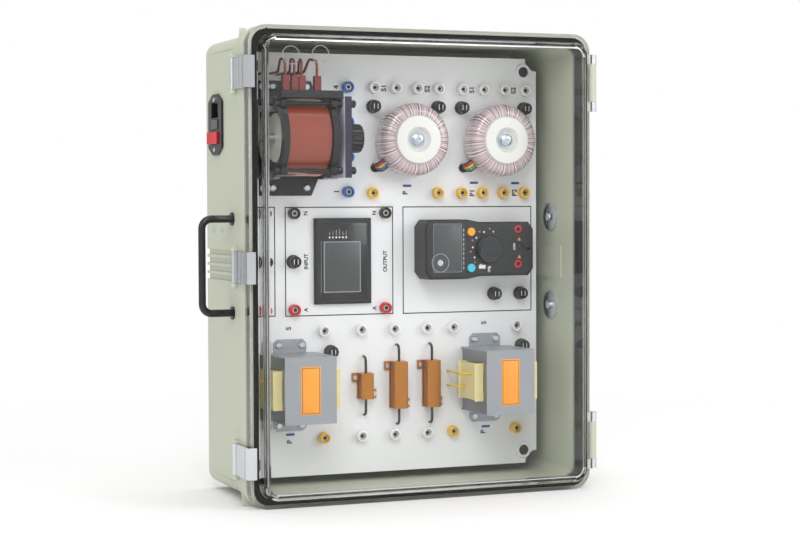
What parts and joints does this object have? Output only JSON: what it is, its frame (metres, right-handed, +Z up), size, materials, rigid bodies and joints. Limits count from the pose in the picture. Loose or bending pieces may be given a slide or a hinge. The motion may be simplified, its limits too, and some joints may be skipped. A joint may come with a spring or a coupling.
{
  "type": "transformer training case",
  "caption": "Wall case with a hinged clear door over a panel of transformers, load resistors, meters, fuse holders and safety sockets.",
  "frame": {"origin": "centre of the base, midway between the door's front face and the back wall", "axes": "+X right, -Y out of the door's front, +Z up along the case's height"},
  "size_m": [0.456, 0.193, 0.5],
  "materials": {
    "case_plastic": "warm grey-green moulded plastic",
    "clear_plastic": "clear moulded polycarbonate",
    "black_rubber": "soft black",
    "stainless": "stainless steel",
    "black_paint": "satin black powder coat",
    "zinc_steel": "zinc-plated steel",
    "white_panel": "white panel board",
    "black_plastic": "black moulded plastic",
    "red_plastic": "red rocker",
    "navy_plate": "navy painted steel",
    "copper": "varnished copper wire",
    "core_steel": "silicon steel",
    "grey_metal": "cast arm",
    "boot_brown": "brown-red boots on black leads",
    "mauve_tape": "clear tape over enamelled wire",
    "cream_plastic": "cream moulding",
    "lead_insulation": "coloured insulation",
    "laminations": "stacked laminations",
    "bobbin_yellow": "cream bobbin and yellow tape",
    "yellow_insulation": "yellow insulation",
    "gold_anodised": "gold anodised",
    "meter_black": "black meter case",
    "dial_black": "black dial",
    "orange_plastic": "orange",
    "blue_plastic": "blue",
    "socket_plastic": "white, yellow, blue, red and black",
    "brass": "nickel-plated brass",
    "steel": "bright steel"
  },
  "bodies": {
    "root": {"carrying_handles": "black_paint", "enclosure_body": "case_plastic", "fuse_holders": "black_plastic", "inlet_housing": "black_plastic", "inlet_pins": "steel", "inlet_screws": "steel", "lamination_stacks": "laminations", "multimeter_case": "meter_black", "panel": "white_panel", "panel_fixings": "black_plastic", "panel_standoffs": "steel", "pivot_pins": "steel", "power_meter": "black_plastic", "rear_feet": "black_rubber", "resistor_bolts": "steel", "resistor_leads": "black_rubber", "resistors": "gold_anodised", "safety_sockets": "socket_plastic", "screws_and_washers": "zinc_steel", "socket_contacts": "brass", "terminal_strip": "black_plastic", "toroid_bolts": "zinc_steel", "toroid_leads": "lead_insulation", "toroid_pads": "black_rubber", "toroid_washers": "cream_plastic", "toroid_windings": "mauve_tape", "transformer_bobbins": "bobbin_yellow", "transformer_frames": "zinc_steel", "transformer_leads": "yellow_insulation", "variac_base": "black_paint", "variac_core": "core_steel", "variac_end_plate": "navy_plate", "variac_end_rings": "black_plastic", "variac_hub": "cream_plastic", "variac_leads": "boot_brown", "variac_tie_rods": "zinc_steel", "variac_winding": "copper"},
    "door": {"door": "clear_plastic", "door_gasket": "black_rubber"},
    "latch_lower": {"latch_lower": "stainless"},
    "latch_middle": {"latch_middle": "stainless"},
    "latch_upper": {"latch_upper": "stainless"},
    "fuse_drawer": {"fuse_drawer": "black_plastic"},
    "rocker": {"rocker_switch": "red_plastic"},
    "variac_rotor": {"variac_shaft": "steel", "brush_arm": "grey_metal", "variac_knob": "black_plastic"},
    "meter_dial": {"multimeter_dial": "dial_black"},
    "select_button": {"select_button": "orange_plastic"},
    "hold_button": {"hold_button": "blue_plastic"},
    "fuse_cap_toroid_1a": {"fuse_cap_toroid_1a": "black_plastic"},
    "fuse_cap_toroid_1b": {"fuse_cap_toroid_1b": "black_plastic"},
    "fuse_cap_toroid_2a": {"fuse_cap_toroid_2a": "black_plastic"},
    "fuse_cap_toroid_2b": {"fuse_cap_toroid_2b": "black_plastic"},
    "fuse_cap_supply": {"fuse_cap_supply": "black_plastic"},
    "fuse_cap_input": {"fuse_cap_input": "black_plastic"},
    "fuse_cap_meter_1": {"fuse_cap_meter_1": "black_plastic"},
    "fuse_cap_meter_2": {"fuse_cap_meter_2": "black_plastic"},
    "fuse_cap_laminated_1": {"fuse_cap_laminated_1": "black_plastic"},
    "fuse_cap_laminated_2": {"fuse_cap_laminated_2": "black_plastic"}
  },
  "joints": [
    {"name": "door_hinge", "type": "hinge", "parent": "root", "child": "door", "pos_m": [0.2035, -0.0665, 0.25], "axis": [0, 0, 1], "range_deg": [0, 170]},
    {"name": "latch_lower_pivot", "type": "hinge", "parent": "root", "child": "latch_lower", "pos_m": [-0.1996, -0.0345, 0.0485], "axis": [0, 0, -1], "range_deg": [0, 110]},
    {"name": "latch_middle_pivot", "type": "hinge", "parent": "root", "child": "latch_middle", "pos_m": [-0.1996, -0.0345, 0.25], "axis": [0, 0, -1], "range_deg": [0, 110]},
    {"name": "latch_upper_pivot", "type": "hinge", "parent": "root", "child": "latch_upper", "pos_m": [-0.1996, -0.0345, 0.4515], "axis": [0, 0, -1], "range_deg": [0, 110]},
    {"name": "rocker_pivot", "type": "hinge", "parent": "root", "child": "rocker", "pos_m": [-0.1925, 0.0565, 0.3875], "axis": [0, 0, -1], "range_deg": [0, 18]},
    {"name": "fuse_drawer_slide", "type": "slide", "parent": "root", "child": "fuse_drawer", "axis": [-1, 0, 0], "range_m": [0, 0.022]},
    {"name": "variac_turn", "type": "hinge", "parent": "root", "child": "variac_rotor", "pos_m": [-0.085, -0.0315, 0.3855], "axis": [1, 0, 0], "range_deg": [0, 320]},
    {"name": "meter_dial_turn", "type": "hinge", "parent": "root", "child": "meter_dial", "pos_m": [0.1005, -0.0185, 0.2647], "axis": [0, -1, 0], "range_deg": [-140, 140]},
    {"name": "select_button_press", "type": "slide", "parent": "root", "child": "select_button", "axis": [0, 1, 0], "range_m": [0, 0.0012], "stiffness_N_per_m": 200},
    {"name": "hold_button_press", "type": "slide", "parent": "root", "child": "hold_button", "axis": [0, 1, 0], "range_m": [0, 0.0012], "stiffness_N_per_m": 200},
    {"name": "fuse_cap_toroid_1a_turn", "type": "hinge", "parent": "root", "child": "fuse_cap_toroid_1a", "pos_m": [-0.0246, 0.0155, 0.4224], "axis": [0, -1, 0], "range_deg": [0, 90]},
    {"name": "fuse_cap_toroid_1b_turn", "type": "hinge", "parent": "root", "child": "fuse_cap_toroid_1b", "pos_m": [0.0526, 0.0155, 0.4224], "axis": [0, -1, 0], "range_deg": [0, 90]},
    {"name": "fuse_cap_toroid_2a_turn", "type": "hinge", "parent": "root", "child": "fuse_cap_toroid_2a", "pos_m": [0.0814, 0.0155, 0.4224], "axis": [0, -1, 0], "range_deg": [0, 90]},
    {"name": "fuse_cap_toroid_2b_turn", "type": "hinge", "parent": "root", "child": "fuse_cap_toroid_2b", "pos_m": [0.1586, 0.0155, 0.4224], "axis": [0, -1, 0], "range_deg": [0, 90]},
    {"name": "fuse_cap_supply_turn", "type": "hinge", "parent": "root", "child": "fuse_cap_supply", "pos_m": [-0.15, 0.0155, 0.253], "axis": [0, -1, 0], "range_deg": [0, 90]},
    {"name": "fuse_cap_input_turn", "type": "hinge", "parent": "root", "child": "fuse_cap_input", "pos_m": [-0.118, 0.0155, 0.253], "axis": [0, -1, 0], "range_deg": [0, 90]},
    {"name": "fuse_cap_meter_1_turn", "type": "hinge", "parent": "root", "child": "fuse_cap_meter_1", "pos_m": [0.1208, 0.0155, 0.2135], "axis": [0, -1, 0], "range_deg": [0, 90]},
    {"name": "fuse_cap_meter_2_turn", "type": "hinge", "parent": "root", "child": "fuse_cap_meter_2", "pos_m": [0.1533, 0.0155, 0.2135], "axis": [0, -1, 0], "range_deg": [0, 90]},
    {"name": "fuse_cap_laminated_1_turn", "type": "hinge", "parent": "root", "child": "fuse_cap_laminated_1", "pos_m": [-0.0754, 0.0155, 0.154], "axis": [0, -1, 0], "range_deg": [0, 90]},
    {"name": "fuse_cap_laminated_2_turn", "type": "hinge", "parent": "root", "child": "fuse_cap_laminated_2", "pos_m": [0.1553, 0.0155, 0.154], "axis": [0, -1, 0], "range_deg": [0, 90]}
  ]
}
